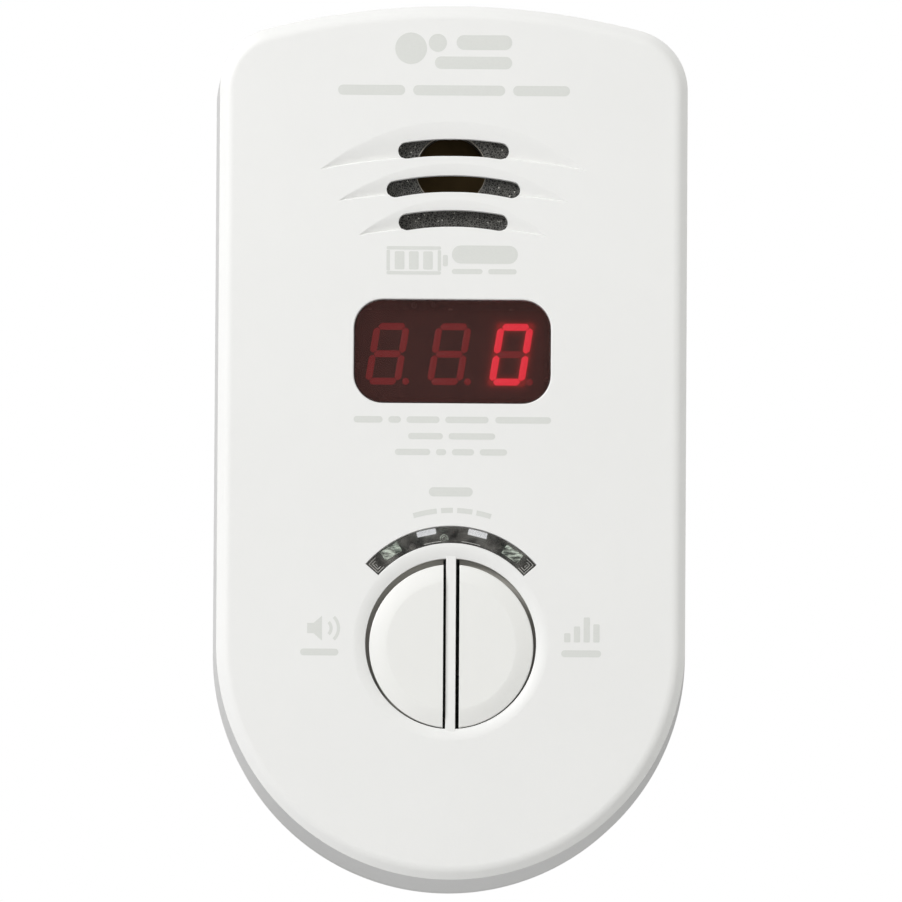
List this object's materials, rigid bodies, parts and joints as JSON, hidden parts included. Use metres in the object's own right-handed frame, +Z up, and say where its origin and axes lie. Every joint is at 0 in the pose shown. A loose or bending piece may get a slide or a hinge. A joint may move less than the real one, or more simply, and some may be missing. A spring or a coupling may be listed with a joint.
{
  "type": "carbon monoxide alarm",
  "caption": "Plug-in carbon monoxide alarm: tall white case with arched top and round bottom, louvred horn slots, red digital display, arched status lens and a split round push button.",
  "frame": {"origin": "on the flat rear face that meets the wall plate, midway between the two blades", "axes": "+Z up the tall case, +Y out of the rear face towards the wall, +X to the right seen from the front; the front faces -Y"},
  "size_m": [0.0834, 0.0549, 0.1552],
  "materials": {
    "front_plastic": "fine satin moulded white ABS",
    "rear_plastic": "satin moulded white ABS",
    "button_plastic": "satin moulded white ABS",
    "display_filter": "polished dark red acrylic",
    "smoked_lens": "polished smoked acrylic",
    "foam": "open-cell foam",
    "horn_plastic": "moulded",
    "disc_brass": "rolled",
    "disc_ceramic": "silvered",
    "spring_steel": "plated strip",
    "board": "dark solder resist on glass laminate",
    "display_body": "black face",
    "segment_on": "lit diffuser",
    "segment_off": "unlit diffuser",
    "led_body": "white package",
    "chip_body": "moulded epoxy",
    "chip_parts": "fired",
    "ferrite": "ground",
    "sensor_can": "drawn can",
    "sensor_cap": "moulded",
    "cell_sleeve": "shrink sleeve",
    "cradle_plastic": "moulded",
    "blade_metal": "nickel plated, stamped",
    "carrier_plastic": "moulded",
    "film_case": "moulded box",
    "can_sleeve": "shrink sleeve",
    "varistor_coat": "dipped epoxy",
    "resistor_coat": "dipped",
    "switch_body": "moulded",
    "switch_metal": "stamped shell",
    "switch_knob": "moulded",
    "screw_steel": "zinc plated",
    "label_paper": "satin film",
    "slider_plastic": "moulded"
  },
  "bodies": {
    "case": {"front_cover": "front_plastic", "rear_cover": "rear_plastic", "display_window": "display_filter", "status_lens": "smoked_lens", "vent_foam": "foam", "horn_chamber": "horn_plastic", "piezo_disc": "disc_brass", "piezo_ceramic": "disc_ceramic", "horn_contacts": "spring_steel", "main_board": "board", "display_module": "display_body", "lit_segments": "segment_on", "unlit_segments": "segment_off", "status_leds": "led_body", "processor_chip": "chip_body", "driver_chip": "chip_body", "surface_parts": "chip_parts", "horn_inductor": "ferrite", "co_sensor": "sensor_can", "sensor_cap": "sensor_cap", "lithium_cell": "cell_sleeve", "cell_holder": "cradle_plastic", "cell_tabs": "spring_steel", "plug_blades": "blade_metal", "blade_carrier": "carrier_plastic", "film_capacitor": "film_case", "reservoir_capacitor": "can_sleeve", "surge_varistor": "varistor_coat", "fusible_resistor": "resistor_coat", "bridge_rectifier": "chip_body", "test_switch_base": "switch_body", "peak_switch_base": "switch_body", "slide_switch_base": "switch_metal", "case_screws": "screw_steel", "board_screws": "screw_steel", "rating_label": "label_paper"},
    "test_button": {"test_hush_button": "button_plastic"},
    "peak_button": {"peak_level_button": "button_plastic"},
    "test_plunger": {"test_switch_plunger": "switch_knob"},
    "peak_plunger": {"peak_switch_plunger": "switch_knob"},
    "off_slider": {"deactivate_slider": "slider_plastic", "slide_switch_knob": "switch_knob"}
  },
  "joints": [
    {"name": "test_press", "type": "slide", "parent": "case", "child": "test_button", "axis": [0, 1, 0], "range_m": [0, 0.0005], "stiffness_N_per_m": 1600, "springref_m": -0.0005},
    {"name": "peak_press", "type": "slide", "parent": "case", "child": "peak_button", "axis": [0, 1, 0], "range_m": [0, 0.0005], "stiffness_N_per_m": 1600, "springref_m": -0.0005},
    {"name": "test_plunger_press", "type": "slide", "parent": "case", "child": "test_plunger", "axis": [0, 1, 0], "range_m": [0, 0.0005]},
    {"name": "peak_plunger_press", "type": "slide", "parent": "case", "child": "peak_plunger", "axis": [0, 1, 0], "range_m": [0, 0.0005]},
    {"name": "off_slide", "type": "slide", "parent": "case", "child": "off_slider", "axis": [1, 0, 0], "range_m": [0, 0.004]}
  ],
  "couplings": [
    {"joint": "test_plunger_press", "follows": "test_press", "ratio": 1},
    {"joint": "peak_plunger_press", "follows": "peak_press", "ratio": 1}
  ]
}
